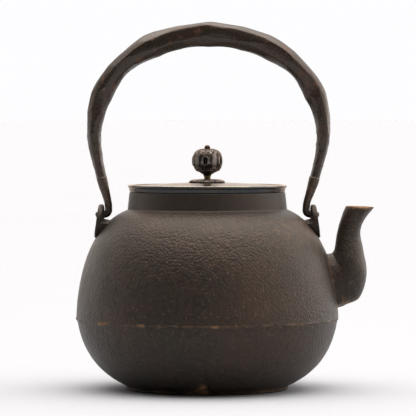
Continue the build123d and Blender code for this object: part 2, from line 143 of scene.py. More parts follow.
# ------------------------------------------------------------------- relief
def grain(places, size, seed):
    """Smooth random field from -1 to 1: a lattice of random numbers, blended between the
    eight corners of each cell by a smooth step."""
    count = 32
    table = np.random.default_rng(seed).uniform(-1, 1, (count, count, count))
    scaled = places / size
    cell = np.floor(scaled).astype(int)
    part = scaled - cell
    part = part * part * (3 - 2 * part)
    total = np.zeros(places.shape[:-1])
    for corner in np.ndindex(2, 2, 2):
        share = np.prod(np.where(corner, part, 1 - part), axis=-1)
        index = (cell + corner) % count
        total += share * table[index[..., 0], index[..., 1], index[..., 2]]
    return total


def pushed(places, rows_close, height):
    """A grid that closes round its columns, moved out by height along its unit normals: the
    cross product of the differences along rows and columns, turned to point out."""
    across = np.roll(places, -1, axis=1) - np.roll(places, 1, axis=1)
    if rows_close:
        along = np.roll(places, -1, axis=0) - np.roll(places, 1, axis=0)
    else:
        along = np.gradient(places, axis=0)
    normals = np.cross(along, across)
    if np.sum(normals * (places - places.mean(axis=(0, 1)))) < 0:
        normals = -normals
    normals = normals / np.maximum(np.linalg.norm(normals, axis=-1, keepdims=True), 1e-12)
    return places + normals * height[..., None]


def cast_relief(places, depth):
    """Sand-cast skin: two sizes of grain, with a share of their signed square added, which
    makes the highest and lowest places stand out."""
    pits = 0.7 * grain(places, 3.4 * MM, 11) + grain(places, 6.3 * MM, 12)
    return depth * (pits + 0.35 * pits * np.abs(pits))


# ------------------------------------------------------------------- meshes
def oriented(places, quads, fans):
    """The faces turned so that the volume that they enclose is positive."""
    a, b, c, d = (places[quads[:, k]] for k in range(4))
    volume = np.sum(np.cross(a, b) * c) + np.sum(np.cross(a, c) * d)
    if len(fans):
        a, b, c = (places[fans[:, k]] for k in range(3))
        volume += np.sum(np.cross(a, b) * c)
    if volume < 0:
        return quads[:, ::-1], fans[:, ::-1]
    return quads, fans


def add_mesh(name, places, quads, fans, marks):
    """Mesh of quads and triangles, smooth shaded, with a value for each vertex in marks."""
    mesh = bpy.data.meshes.new(name)
    corners = np.concatenate([quads.ravel(), fans.ravel()]).astype(np.int32)
    sizes = np.concatenate([np.full(len(quads), 4), np.full(len(fans), 3)])
    starts = np.concatenate([[0], np.cumsum(sizes)[:-1]]).astype(np.int32)
    mesh.vertices.add(len(places))
    mesh.vertices.foreach_set("co", places.astype(np.float32).ravel())
    mesh.loops.add(len(corners))
    mesh.loops.foreach_set("vertex_index", corners)
    mesh.polygons.add(len(sizes))
    mesh.polygons.foreach_set("loop_start", starts)
    mesh.polygons.foreach_set("use_smooth", np.ones(len(sizes), bool))
    mesh.update(calc_edges=True)
    for mark, values in marks.items():
        field = mesh.attributes.new(mark, "FLOAT", "POINT")
        field.data.foreach_set("value", values.astype(np.float32))
    mesh.validate()
    return linked(name, mesh)


def linked(name, data):
    """New object with that data, in the scene."""
    piece = bpy.data.objects.new(name, data)
    bpy.context.scene.collection.objects.link(piece)
    return piece


def cells_of(index):
    """Quads between the rows of a grid of point numbers whose columns close round."""
    beside = np.roll(index, -1, axis=1)
    return np.stack([index[:-1], beside[:-1], beside[1:], index[1:]], axis=-1).reshape(-1, 4)


def fan_of(row, tip):
    """Triangles from a closed row of point numbers to the point tip."""
    return np.stack([row, np.roll(row, -1), np.full(len(row), tip)], axis=-1)


def surface(name, places, rows_close, marks=None):
    """Closed mesh of a grid of points (rows, columns, xyz). The columns close round. The
    rows close round too, or else end in a fan to the mean of the first and last row."""
    rows, columns = places.shape[:2]
    index = np.arange(rows * columns).reshape(rows, columns)
    flat = places.reshape(-1, 3)
    marks = {mark: values.ravel() for mark, values in (marks or {}).items()}
    if rows_close:
        quads = cells_of(np.concatenate([index, index[:1]]))
        fans = np.zeros((0, 3), int)
    else:
        quads = cells_of(index)
        first, last = fan_of(index[0], rows * columns), fan_of(index[-1], rows * columns + 1)
        fans = np.concatenate([first[:, [1, 0, 2]], last])
        flat = np.concatenate([flat, places[[0, -1]].mean(axis=1)])
        marks = {
            mark: np.concatenate([values, [values[:columns].mean(), values[-columns:].mean()]])
            for mark, values in marks.items()
        }
    quads, fans = oriented(flat, quads, fans)
    return add_mesh(name, flat, quads, fans, marks)


def turned(profile, columns):
    """Profile points (radius, height) carried round Z."""
    angles = circle(columns)
    radius, height = profile[:, :1], profile[:, 1:]
    return np.stack(
        [radius * np.cos(angles), radius * np.sin(angles), height + 0 * angles], axis=-1
    )


def rounded(points, radius, steps=4):
    """Closed profile whose corners are cut by a quadratic curve that starts at that distance
    from the corner, or at 0.45 of a shorter side."""
    p = np.array(points, float)
    before, after = np.roll(p, 1, axis=0) - p, np.roll(p, -1, axis=0) - p
    lengths = np.linalg.norm(before, axis=1), np.linalg.norm(after, axis=1)
    cut = [np.minimum(radius, 0.45 * length)[:, None] / length[:, None] for length in lengths]
    start, end = p + before * cut[0], p + after * cut[1]
    t = np.linspace(0, 1, steps)[None, :, None]
    curve = (1 - t) ** 2 * start[:, None] + 2 * t * (1 - t) * p[:, None] + t * t * end[:, None]
    return curve.reshape(-1, 2)


def refined(profile, step):
    """Closed profile with points added so that none is further than step from the next."""
    closed = np.concatenate([profile, profile[:1]])
    lengths = np.linalg.norm(np.diff(closed, axis=0), axis=1)
    counts = np.maximum(1, np.ceil(lengths / step)).astype(int)
    starts = np.repeat(np.arange(len(profile)), counts)
    shares = np.concatenate([np.arange(c) / c for c in counts])[:, None]
    return closed[starts] * (1 - shares) + closed[starts + 1] * shares


def place(piece, body, nodes, slot):
    """Gives a piece its finish, the body that it rides on and the nodes that it stands for."""
    piece.data.materials.append(FINISHES[slot])
    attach(piece, body)
    if nodes:
        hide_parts(*nodes)


# ------------------------------------------------------------------- finishes
class Signal:
    """One output of a node. Sums, differences and products of signals add Math nodes."""

    def __init__(self, board, socket):
        self.board, self.socket = board, socket

    def maths(self, operation, first, second):
        return self.board.node("ShaderNodeMath", {"operation": operation}, {0: first, 1: second})

    def __add__(self, other):
        return self.maths("ADD", self, other)

    def __radd__(self, other):
        return self.maths("ADD", other, self)

    def __sub__(self, other):
        return self.maths("SUBTRACT", self, other)

    def __rsub__(self, other):
        return self.maths("SUBTRACT", other, self)

    def __mul__(self, other):
        return self.maths("MULTIPLY", self, other)

    def __rmul__(self, other):
        return self.maths("MULTIPLY", other, self)

    def clamp(self):
        return self.board.node("ShaderNodeClamp", {}, {"Value": self})


class Board:
    """A node tree that nodes are added to."""

    def __init__(self, owner):
        owner.use_nodes = True
        self.owner, self.tree = owner, owner.node_tree
        self.tree.nodes.clear()

    def node(self, kind, settings, inputs, output=0):
        """A node of that kind: its settings first, then its inputs, then one of its outputs."""
        node = self.tree.nodes.new(kind)
        for name, value in settings.items():
            setattr(node, name, value)
        for name, value in inputs.items():
            if isinstance(value, Signal):
                self.tree.links.new(value.socket, node.inputs[name])
            else:
                node.inputs[name].default_value = value
        return Signal(self, node.outputs[output]) if node.outputs else node

    def mark(self, name):
        return self.node("ShaderNodeAttribute", {"attribute_name": name}, {}, "Fac")

    def place(self):
        return self.node("ShaderNodeTexCoord", {}, {}, "Object")

    def noise(self, size, detail=3.0, roughness=0.55):
        """Noise whose features are about that many metres wide, from 0 to 1."""
        inputs = {"Vector": self.place(), "Scale": 1.0 / size}
        inputs.update({"Detail": detail, "Roughness": roughness})
        return self.node("ShaderNodeTexNoise", {}, inputs, "Fac")

    def cells(self, size):
        """Distance to the nearest of scattered points that are about that far apart."""
        inputs = {"Vector": self.place(), "Scale": 1.0 / size}
        return self.node("ShaderNodeTexVoronoi", {}, inputs, "Distance")

    def band(self, value, low, high):
        """0 at low, 1 at high, smooth between them, and even past them."""
        inputs = {"Value": value, "From Min": low, "From Max": high}
        return self.node("ShaderNodeMapRange", {"interpolation_type": "SMOOTHSTEP"}, inputs)

    def mix(self, share, first, second):
        """First colour where share is 0, second where it is 1."""
        inputs = {0: share, 6: first, 7: second}
        return self.node("ShaderNodeMix", {"data_type": "RGBA"}, inputs, 2)

    def bump(self, height, distance, strength):
        inputs = {"Height": height, "Distance": distance, "Strength": strength}
        return self.node("ShaderNodeBump", {}, inputs)


def colour(red, green, blue):
    """Colour from display values of 0 to 255, as the light that they stand for."""
    c = np.array([red, green, blue]) / 255
    c = np.where(c <= 0.04045, c / 12.92, ((c + 0.055) / 1.055) ** 2.4)
    return (*c, 1.0)


WARM = (1.0, 0.86, 0.76, 1.0)


def shaded(board, base, roughness, metallic, normal, specular=0.5, tint=WARM):
    """The board's material, with a principled surface at the end of its nodes."""
    inputs = {
        "Base Color": base,
        "Roughness": roughness,
        "Metallic": metallic,
        "Normal": normal,
        "Specular IOR Level": specular,
        "Specular Tint": tint,
    }
    shader = board.node("ShaderNodeBsdfPrincipled", {}, inputs)
    board.node("ShaderNodeOutputMaterial", {}, {"Surface": shader})
    return board.owner


def new_board(name):
    """Board of a new material."""
    return Board(bpy.data.materials.new(name))


def sand_cast_iron():
    """Dark warm iron with a pebbled skin, darker and smoother where it was dressed, and
    orange rust where the rust mark is high; on the pot's upper shoulder that mark also holds
    a painted light."""
    board = new_board("sand_cast_iron")
    rust, dressed = board.mark("rust"), board.mark("dressed")
    cloud = board.noise(16 * MM, 4.0)
    pebble = board.cells(1.5 * MM)
    fine = board.noise(0.8 * MM, 3.0, 0.6)
    skin = board.mix(board.band(cloud, 0.35, 0.65), colour(43, 33, 29), colour(34, 32, 26))
    skin = board.mix(board.band(board.noise(3.2 * MM, 2.0), 0.42, 0.62), skin, colour(29, 24, 21))
    skin = board.mix(board.band(board.noise(60 * MM), 0.5, 0.7) * 0.5, skin, colour(56, 39, 32))
    skin = board.mix(dressed * 0.75, skin, colour(32, 27, 24))
    specks = board.band(board.noise(1.6 * MM, 2.0), 0.58, 0.70) * (0.4 - 0.35 * dressed)
    skin = board.mix(specks, skin, colour(92, 76, 62))
    patch = board.noise(2.6 * MM, 4.0, 0.65)
    # The rust tint also paints light on the pot's upper shoulder.
    rusty = (rust * 1.6 + patch - 1.0).clamp()
    shade = board.band(board.noise(5 * MM), 0.4, 0.6)
    tint = board.mix(shade, colour(150, 116, 84), colour(96, 72, 54))
    base = board.mix(rusty * 0.8, skin, tint)
    roughness = 0.43 + 0.06 * dressed + 0.3 * rusty + 0.12 * (cloud - 0.5)
    height = (1 - pebble) * (1 - 0.8 * dressed) + 0.5 * fine
    normal = board.bump(height, 0.30 * MM, 0.75)
    return shaded(board, base, roughness, 0.0, normal, 0.34)


def forged_iron():
    """Hammered iron under old lacquer: dark brown, paler on the ridges between hammer marks,
    which is partly wear and partly a painted highlight, and a little rust in the hollows."""
    board = new_board("forged_iron")
    hollow = board.mark("hollow")
    cloud = board.noise(18 * MM, 4.0)
    streak = board.noise(2.2 * MM, 4.0, 0.6)
    skin = board.mix(board.band(cloud, 0.35, 0.65), colour(42, 29, 25), colour(34, 30, 24))
    skin = board.mix(board.band(streak, 0.45, 0.7), skin, colour(26, 20, 18))
    rusty = (board.band(board.noise(7 * MM, 4.0, 0.6), 0.55, 0.7) * (0.25 + hollow)).clamp()
    skin = board.mix(rusty * 0.5, skin, colour(84, 50, 34))
    # Paler ridges between hammer marks: partly wear, partly a painted highlight.
    wear_and_highlight = (board.band(hollow, 0.3, 0.0) * board.band(streak, 0.35, 0.6)).clamp()
    base = board.mix(wear_and_highlight * 0.6, skin, colour(118, 92, 78))
    roughness = 0.27 + 0.2 * (streak - 0.5) + 0.2 * rusty
    pits = board.noise(0.9 * MM, 3.0, 0.6) + 0.6 * board.cells(2.4 * MM)
    normal = board.bump(pits, 0.22 * MM, 0.6)
    return shaded(board, base, roughness, 0.0, normal)


def lid_bronze():
    """Cast bronze with a slate patina, with painted shade below its upper side and a painted
    highlight on the bead of its edge."""
    board = new_board("lid_bronze")
    painted_light = board.mark("painted_light")
    cloud = board.noise(14 * MM, 4.0)
    skin = board.mix(board.band(cloud, 0.3, 0.7), colour(70, 73, 77), colour(88, 84, 78))
    skin = board.mix(board.band(board.noise(3 * MM), 0.5, 0.75) * 0.6, skin, colour(58, 56, 56))
    # Painted shade: the skin is darkened below the lid's upper side, where the mark is 0.
    base = board.mix(painted_light, board.mix(0.6, skin, colour(38, 42, 46)), skin)
    # Painted highlight: pale colour on the bead of the lid's edge, where the mark rises above 1.
    base = board.mix(board.band(painted_light, 0.9, 1.6) * 0.8, base, colour(190, 182, 168))
    roughness = 0.28 + 0.16 * (cloud - 0.5) - 0.06 * painted_light
    pits = board.noise(1.1 * MM, 4.0, 0.6)
    normal = board.bump(pits, 0.12 * MM, 0.5)
    return shaded(board, base, roughness, 0.85, normal)


def knob_bronze():
    """Dark patina in the hollows of the chasing, and silvery colour on its high spots that is
    partly wear and partly a painted highlight.
    """
    board = new_board("knob_bronze")
    raised = board.mark("raised")
    cloud = board.noise(2.6 * MM, 4.0)
    # Silvery high spots: partly wear, partly a painted highlight.
    wear_and_highlight = (0.6 * board.band(raised, 0.35, 0.95) + 0.9 * (cloud - 0.5)).clamp()
    dark = board.mix(board.band(cloud, 0.35, 0.65), colour(40, 35, 33), colour(66, 56, 50))
    base = board.mix(wear_and_highlight, dark, colour(150, 142, 138))
    roughness = 0.45 - 0.15 * wear_and_highlight
    normal = board.bump(board.noise(0.6 * MM), 0.1 * MM, 0.5)
    return shaded(board, base, roughness, 0.85, normal)


def knob_brass():
    """Dull olive brass, nearly black where it is tarnished."""
    board = new_board("knob_brass")
    tarnish = board.mark("tarnish")
    cloud = board.noise(3 * MM, 4.0)
    base = board.mix(board.band(cloud, 0.35, 0.65), colour(98, 88, 56), colour(132, 118, 76))
    base = board.mix(tarnish, base, board.mix(cloud, colour(40, 32, 28), colour(70, 56, 46)))
    normal = board.bump(board.noise(0.7 * MM), 0.08 * MM, 0.4)
    return shaded(board, base, 0.38 + 0.2 * (cloud - 0.5), 0.9, normal)


# ------------------------------------------------------------------- pot
BOWL = pulled((FOOT, FOOT_HEIGHT), (GIRTH - SEAM_STEP, SEAM), BOWL_PULLS)
SHOULDER_CURVE = pulled((GIRTH, SEAM), (NECK, SHOULDER), SHOULDER_PULLS)


def pot_radius(heights):
    """Outer radius of the pot at those heights."""
    t = np.linspace(0, 1, 200)
    curve = np.concatenate([cubic(BOWL, t), cubic(SHOULDER_CURVE, t[1:])])
    return np.interp(heights, curve[:, 1], curve[:, 0])


def pot_profile():
    """Half section from the middle of the foot, out over the bowl, seam, shoulder, neck and
    rim, and back down inside. Each stretch is a straight line or one of the two cubics."""
    seam = np.linspace(-1.2, 1.2, 11) * MM
    step = blend(GIRTH - SEAM_STEP, GIRTH, ramp(-0.35 * MM, 0.35 * MM, seam))
    corner = 1.0 * MM
    inner = pulled((GIRTH - WALL, SEAM), (MOUTH, SHOULDER - WALL), SHOULDER_PULLS)
    bowl = pulled((FOOT - WALL, FLOOR), (GIRTH - WALL, SEAM), BOWL_PULLS)
    recess = 0.9 * MM
    around = np.linspace(0, np.pi / 2, 4)[1:]
    turn = np.stack([np.cos(around), np.sin(around)], axis=1)
    return np.concatenate(
        [
            np.linspace([1.5 * MM, recess], [FOOT - 6 * MM, recess], 12),
            [[FOOT - 5 * MM, 0], [FOOT - 3 * MM, 0], [FOOT - corner, 0]],
            [[FOOT - 0.3 * MM, 0.3 * MM], [FOOT, corner]],
            cubic(BOWL, np.linspace(0, 0.965, 44)),
            np.stack([step, SEAM + seam], axis=1),
            cubic(SHOULDER_CURVE, np.linspace(0.03, 1, 62)),
            np.linspace([NECK - 0.1 * MM, SHOULDER + 0.7 * MM], [NECK_RIM, RIM - corner], 8),
            [NECK_RIM - corner, RIM - corner] + corner * turn,
            [[MOUTH + corner, RIM], [MOUTH, RIM - corner], [MOUTH, RIM - 5 * MM]],
            cubic(inner, np.linspace(1, 0, 14)),
            cubic(bowl, np.linspace(0.93, 0, 9)),
            np.linspace([FOOT - 8 * MM, FLOOR], [2 * MM, FLOOR], 4),
        ]
    )


def pot_rust_and_light(places):
    """Rust on the pot: flecks along the seam, most of them at the back on the plain side, a
    ring where the spout joins and a chip at the front of the foot; and a painted light in the
    rust's colour over the upper shoulder, strongest on the spout's side."""
    x, y, z = np.moveaxis(places, -1, 0)
    angle = np.arctan2(y, x)
    flecks = ramp(-0.05, 0.45, grain(places, 5.5 * MM, 21)) * (0.55 + 0.45 * np.cos(angle - 2.4))
    seam = hump(z - SEAM, 1.4 * MM) * (0.36 + 0.85 * flecks)
    root = hump(np.hypot(y, (z - 66 * MM) * 0.8) - 14 * MM, 3.0 * MM) * (x > 0) * 0.5
    below = hump(y, 9 * MM) * hump(z - 52 * MM, 9 * MM) * (x > 0) * 0.8
    chip = hump(np.hypot(x + 3 * MM, (z - 4.5 * MM)), 3.0 * MM) * (y < 0) * 1.2
    foot = hump(z - 1.5 * MM, 3.5 * MM) * (0.35 + 0.3 * grain(places, 9 * MM, 22))
    # Painted light: a warm paler tint over the upper shoulder, strongest on the spout's side.
    shoulder_light = ramp(60 * MM, 95 * MM, z) * ramp(109 * MM, 104 * MM, z) * 0.2 * (1 + np.cos(angle))
    return np.clip(seam * 1.1 + root + below + chip + foot + shoulder_light, 0, 1.2)


def pot():
    """The casting. The half section is carried round Z, then pushed out along its normals by
    the skin's grain, the broken fin at the seam and a slow unevenness of the mould. The
    recess under the foot, its first rows, has the scar where the iron was poured."""
    places = turned(pot_profile(), 520)
    x, y, z = np.moveaxis(places, -1, 0)
    radius = np.hypot(x, y)
    angle = np.arctan2(y, x)
    rows = np.arange(len(places))[:, None]
    recess_rows, outer_rows = 13, 148
    outside = ((rows < outer_rows) & (z > 0.5 * MM)).astype(float)
    ring = np.stack([np.cos(angle) * 80, np.sin(angle) * 80, 0 * angle], axis=-1) * MM
    neck = ramp(SHOULDER - 0.5 * MM, SHOULDER + 0.8 * MM, z)
    calm = 1 - 0.85 * neck
    height = cast_relief(places, 0.045 * MM) * calm
    height += 0.22 * MM * grain(places, 21 * MM, 13) * calm * ramp(2 * MM, 12 * MM, z)
    drift = 0.35 * MM * grain(ring, 16 * MM, 14)
    fin = hump(z - SEAM - drift, 0.55 * MM) * ramp(-0.5, 0.6, grain(ring, 7 * MM, 15))
    height += 0.6 * MM * fin
    chip = hump(np.hypot(x + 3 * MM, z - 4.5 * MM), 2.2 * MM) * (y < 0)
    height -= 0.5 * MM * chip
    scar = hump(radius, 6.5 * MM) * (0.8 + 0.3 * grain(places, 2 * MM, 16))
    under = (rows < recess_rows) + 0 * angle
    places = pushed(places, False, height * outside)
    places[..., 2] -= 0.7 * MM * np.clip(scar, 0, 1) * under
    # The rust mark also carries the painted light on the upper shoulder.
    marks = {"rust": pot_rust_and_light(places) * outside, "dressed": neck * outside + 0.6 * (1 - outside)}
    return surface("pot_casting", places, False, marks)


# ------------------------------------------------------------------- spout
SPOUT_STATIONS = [0.0, 0.16, 0.30, 0.45, 0.60, 0.70, 0.80, 0.91, 1.0]
SPOUT_BACK = [
    (76.0, 81.9), (76.7, 83.6), (77.7, 85.4), (78.4, 89.1), (79.2, 95.0),
    (80.2, 99.3), (81.4, 103.3), (83.1, 108.1), (84.6, 111.6),
]
SPOUT_FRONT = [
    (85.0, 49.7), (93.6, 56.6), (97.0, 69.7), (95.2, 84.4), (93.1, 94.0),
    (93.3, 98.0), (94.8, 102.2), (98.3, 107.2), (101.9, 111.0),
]
SPOUT_HALF_WIDTH = [12.6, 12.7, 12.1, 9.8, 7.6, 7.4, 7.5, 8.1, 8.7]
SPOUT_WALL = 2.3 * MM
LIP_WALL = 1.6 * MM


def spout_tube(along, around, inset):
    """Ovals from the root to the lip: the first axis of each runs from a back point to a front
    point of the spout's outline, and the second runs across it."""
    back = flow(SPOUT_STATIONS, np.array(SPOUT_BACK) * MM, along)
    front = flow(SPOUT_STATIONS, np.array(SPOUT_FRONT) * MM, along)
    half = flow(SPOUT_STATIONS, np.array(SPOUT_HALF_WIDTH) * MM, along)[:, 0] - inset
    centre, reach = (back + front) / 2, (front - back) / 2
    length = np.linalg.norm(reach, axis=1)
    reach = reach * ((length - inset) / length)[:, None]
    return carried(centre, reach, np.cos(around), half[:, None] * np.sin(around))


def spout():
    """S-shaped tube of ovals. Its first rows are drawn onto the pot's skin and swell into a
    lumpy root, and a keel runs down the front where the halves of its mould met."""
    around = circle(144)
    along = np.concatenate([np.linspace(0, 0.12, 12), np.linspace(0.13, 1, 92)])
    outer = spout_tube(along, around, 0)
    start = outer[0]
    flat = np.sqrt(np.maximum(pot_radius(start[:, 2]) ** 2 - start[:, 1] ** 2, 0)) - 1.2 * MM
    shift = np.zeros_like(start)
    shift[:, 0] = flat - start[:, 0]
    drawn = 0.13
    outer = outer + (1 - ramp(0, drawn, along))[:, None, None] * shift
    keel = hump(around - np.where(around > np.pi, 2 * np.pi, 0), 0.13)
    run = ramp(0.1, 0.3, along) * (1 - ramp(0.93, 1.0, along))
    lumps = 0.6 + 0.6 * grain(outer, 3.2 * MM, 31)
    root = (1 - ramp(0.0, 0.085, along))[:, None] * 1.3 * MM * lumps * (0.6 + 0.4 * np.cos(around))
    height = cast_relief(outer, 0.07 * MM) + 0.18 * MM * grain(outer, 9 * MM, 32) + root
    height += 0.5 * MM * keel * run[:, None] * (0.8 + 0.2 * grain(outer, 6 * MM, 33))
    outer = pushed(outer, False, height)
    lip = np.linspace(0, np.pi, 7)[1:-1]
    end, bore = outer[-1], spout_tube(np.array([1.0]), around, 2 * LIP_WALL)[0]
    turn = [blend(end, bore, (1 - np.cos(a)) / 2) + [0, 0, 0.45 * MM * np.sin(a)] for a in lip]
    back = np.linspace(1, 0, 40)
    inner = spout_tube(back, around, blend(SPOUT_WALL, 2 * LIP_WALL, ramp(0.8, 1.0, back)))
    inner = inner + (1 - ramp(0, drawn, back))[:, None, None] * shift
    places = np.concatenate([outer, np.array(turn), inner])
    x, y, z = np.moveaxis(places, -1, 0)
    level = np.concatenate([along, np.ones(len(turn)), back])[:, None] + 0 * around
    rust = 0.6 * (1 - ramp(0.0, 0.11, level)) * (0.55 + 0.5 * grain(places, 4 * MM, 34))
    rust += hump(1.0 - level, 0.035) * (0.95 + 0.3 * grain(places, 4 * MM, 35))
    rust += 0.5 * hump(np.cos(around) - 1, 0.04) * (0.6 + 0.5 * grain(places, 5 * MM, 36))
    rust += 0.45 * hump(z - 53 * MM, 5 * MM) * (x > 82 * MM)
    marks = {"rust": np.clip(rust, 0, 1.2), "dressed": 0.1 * ramp(0.2, 0.5, level)}
    return surface("spout_casting", places, True, marks)


# ------------------------------------------------------------------- lugs
def lug(side):
    """Disc lug as a closed band round the hook's hole: rays run from the hole to the disc's
    edge over the dished outer face and back over the bevelled inner face, which widens into
    a root below the hook."""
    centre = HINGE.z - 4.2 * MM
    radius, hole = 10.2 * MM, 2.7 * MM
    lean, bevel, slant = (np.tan(np.radians(degrees)) for degrees in (8, 15, 13))
    around = circle(120)
    across, up = np.cos(around), np.sin(around)
    offset = (centre - HINGE.z) * up
    reach = offset + np.sqrt(offset**2 - (centre - HINGE.z) ** 2 + radius**2)
    edge, lip = 0.9 * MM, 0.35 * MM
    arc = np.linspace(0, np.pi / 2, 5)
    face = np.linspace(0, 1, 22)[:, None]
    spans = [
        hole + lip * (1 - np.sin(arc[::-1]))[:, None] + 0 * reach,
        (hole + lip) + face[1:-1] * (reach - edge - hole - lip),
        reach - edge * (1 - np.sin(arc))[:, None],
    ]
    sinks = [
        lip * (1 - np.cos(arc[::-1]))[:, None] + 0 * reach,
        0 * face[1:-1] * reach,
        edge * (1 - np.cos(arc))[:, None] + 0 * reach,
    ]
    span, sink = np.concatenate(spans), np.concatenate(sinks)
    y, z = span * across, HINGE.z + span * up
    outer = LUG_OUTER + (HINGE.z - z) * lean
    from_middle = np.hypot(y, z - centre)
    dish = 0.6 * MM * (1 - ramp(7.2 * MM, 8.8 * MM, from_middle))
    face_in = LUG_INNER + bevel * np.maximum(span - 4 * MM, 0)
    drop = HINGE.z - 2.6 * MM - np.abs(y) * slant - z
    slope = blend(face_in, 58.5 * MM, np.clip(drop / (1.0 * MM), 0, 1))
    shell = np.sqrt(np.maximum(pot_radius(z) ** 2 - y**2, 0)) - 1.3 * MM
    inner = np.where(shell > slope, np.minimum(shell, outer - 1.5 * MM), slope)
    front = np.stack([outer - dish - sink, y, z], axis=-1)
    back = np.stack([inner + sink, y, z], axis=-1)[::-1]
    places = np.concatenate([front, back])
    height = cast_relief(places, 0.06 * MM) + 0.15 * MM * grain(places, 6 * MM, 41 + side)
    places = pushed(places, True, height)
    near = np.hypot(places[..., 1], places[..., 2] - HINGE.z)
    rust = 0.85 * hump(near - 3 * MM, 2.2 * MM) * (0.6 + 0.5 * grain(places, 3 * MM, 42))
    places[..., 0] *= side
    marks = {"rust": np.clip(rust, 0, 1), "dressed": np.full(near.shape, 0.3)}
    name = "lug_right_casting" if side > 0 else "lug_left_casting"
    return surface(name, places, True, marks)


# ------------------------------------------------------------------- handle
LEG = 60.2 * MM
BEND = 2.7 * MM
LEG_TOP = HINGE.z + BEND
LUG_INNER, LUG_OUTER = 62.9 * MM, 67.2 * MM
WAIST = np.array([LEG + 9.7 * MM, HINGE.z + 50.4 * MM])
CROWN = HINGE.z + 109.6 * MM
GRIP_START = 0.36
GRIP_ALONG = [0.36, 0.58, 0.82, 1.03, 1.14, 1.27, 1.42, 1.54, 1.66, 1.80, 1.91, 2.00]
GRIP_THICK = [6.0, 7.2, 8.5, 9.6, 11.4, 13.5, 12.1, 12.6, 14.8, 14.2, 14.2, 15.4]
GRIP_WIDE = [6.6, 8.8, 10.4, 11.2, 10.8, 10.0, 11.8, 13.2, 13.8, 12.6, 11.2, 10.4]


def handle_line(along):
    """Centreline in the XZ plane: a cubic leg for 0 to 1, then a cubic arch to the crown."""
    start = np.array([LEG + 0.3 * MM, LEG_TOP + 3.5 * MM])
    rise = WAIST[1] - start[1]
    leg = [start, start + [2.4 * MM, 0.26 * rise], WAIST + [0.7 * MM, -0.25 * rise], WAIST]
    height = CROWN - WAIST[1]
    pull, top = (0.66 * WAIST[0], CROWN - 0.027 * height), (0, CROWN)
    arch = [WAIST, WAIST + [-1.0 * MM, 0.554 * height], pull, top]
    low = cubic(leg, np.clip(along, 0, 1))
    high = cubic(arch, np.clip(along - 1, 0, 1))
    return np.where(along[:, None] <= 1, low, high)


def leaned(places):
    """The bail leans to the spout: x grows by 0.9 mm up each leg, sooner on the spout's side."""
    x, z = places[..., 0], (places[..., 2] - HINGE.z) / MM
    places[..., 0] += 0.9 * MM * np.where(x > 0, ramp(3, 20, z), ramp(12, 60, z))
    return places


def dents(along, around, seed):
    """Hammer marks: for each point the least squared distance to scattered blows, which are
    long ovals. It is 0 at a blow's middle and grows to the ridges between blows."""
    random = np.random.default_rng(seed)
    rows, turns = 22, 6
    row, turn = np.meshgrid(np.arange(rows), np.arange(turns), indexing="ij")
    blow_along = (row + 0.5 + random.uniform(-0.32, 0.32, row.shape)) / rows
    blow_around = (turn + 0.5 * (row % 2) + random.uniform(-0.28, 0.28, row.shape)) / turns
    first = (along - blow_along.ravel()) * rows
    second = (around - blow_around.ravel() + 0.5) % 1.0 - 0.5
    return np.min(first**2 + (second * turns) ** 2, axis=-1)


def handle_grip():
    """Hollow grip: rounded six-sided sections carried along the arch, cut by hammer marks,
    with a brazed seam along the inside of the arch, and a plain wall inside."""
    half = 2.0 - GRIP_START
    along = np.linspace(-half, half, 420)
    around = circle(96)
    station = 2.0 - np.abs(along)
    line = handle_line(station)
    line[:, 0] *= np.sign(along)
    sway = np.stack([along * 0.9, 0 * along, 0 * along], axis=-1)
    ends = 1 - np.abs(along / half) ** 6
    line[:, 1] += 0.45 * MM * grain(sway, 0.45, 51) * ends
    outward = directions(line)[1]
    middle = np.array([0, HINGE.z + 45 * MM])
    if np.sum(outward * (line - middle)) < 0:
        outward = -outward
    thick = flow(GRIP_ALONG, GRIP_THICK, station)[:, 0] / 2 * MM
    wide = flow(GRIP_ALONG, GRIP_WIDE, station)[:, 0] / 2 * MM
    thick = thick * (1 + 0.05 * grain(sway + 5, 0.3, 52) * ends)
    thick = thick * (1 - 0.04 * ramp(0.1, 0.4, along))
    wide = wide * (1 + 0.05 * grain(sway + 9, 0.3, 53) * ends)
    twist = 0.35 * grain(sway + 13, 0.5, 54)[:, None]
    sector = np.pi / 3
    phase = (around + twist + sector / 2) % sector - sector / 2
    corner = np.cos(sector / 2) / np.cos(np.abs(phase) - sector / 2 + 0 * phase)
    flat = blend(1.0, corner / corner.mean(), 0.40) * 1.01
    share_along, share_around = (along + half) / (2 * half), around / (2 * np.pi)
    blows = dents(share_along[:, None, None], share_around[None, :, None], 55)
    depth = blows * 1.25 * MM * (thick[:, None] / (6.5 * MM))
    cut = np.minimum(depth, 0.9 * MM) - 0.55 * MM
    level = ramp(0.30, 0.55, station)[:, None]
    groove = -0.35 * MM * hump(around - np.pi, 0.09) * ramp(0.5, 0.8, station)[:, None]
    cosine, sine = np.cos(around), np.sin(around)
    reach = (flat * thick[:, None] + cut * level * 0.8 + groove) * cosine
    side = (flat * wide[:, None] + cut * level * 0.8) * sine
    outer = carried(line, outward, reach, side)
    sheet, every = 1.4 * MM, slice(None, None, 6)
    reach, side = (thick[every, None] - sheet) * cosine, (wide[every, None] - sheet) * sine
    bore = carried(line[every], outward[every], reach, side)[::-1]
    hollow = 1 - np.clip(depth / (0.9 * MM), 0, 1)
    places = leaned(np.concatenate([outer, bore]))
    marks = {"hollow": np.concatenate([hollow, np.ones(bore.shape[:2])])}
    return surface("grip_shell", places, True, marks)


def hook_radii(lengths, at_grip):
    """Half thickness along the bar: thin in the tang, at_grip where the leg leaves the grip,
    then shrinking to the even bend and the slightly thinner tip."""
    tang, leg, bend, pin = lengths
    leg = blend(at_grip, 2.25, ramp(0, 0.95, np.linspace(0, 1, leg)))
    end = np.linspace(2.2, 1.8, pin)
    return np.concatenate([np.full(tang, 1.45), leg, np.full(bend, 2.2), end]) * MM


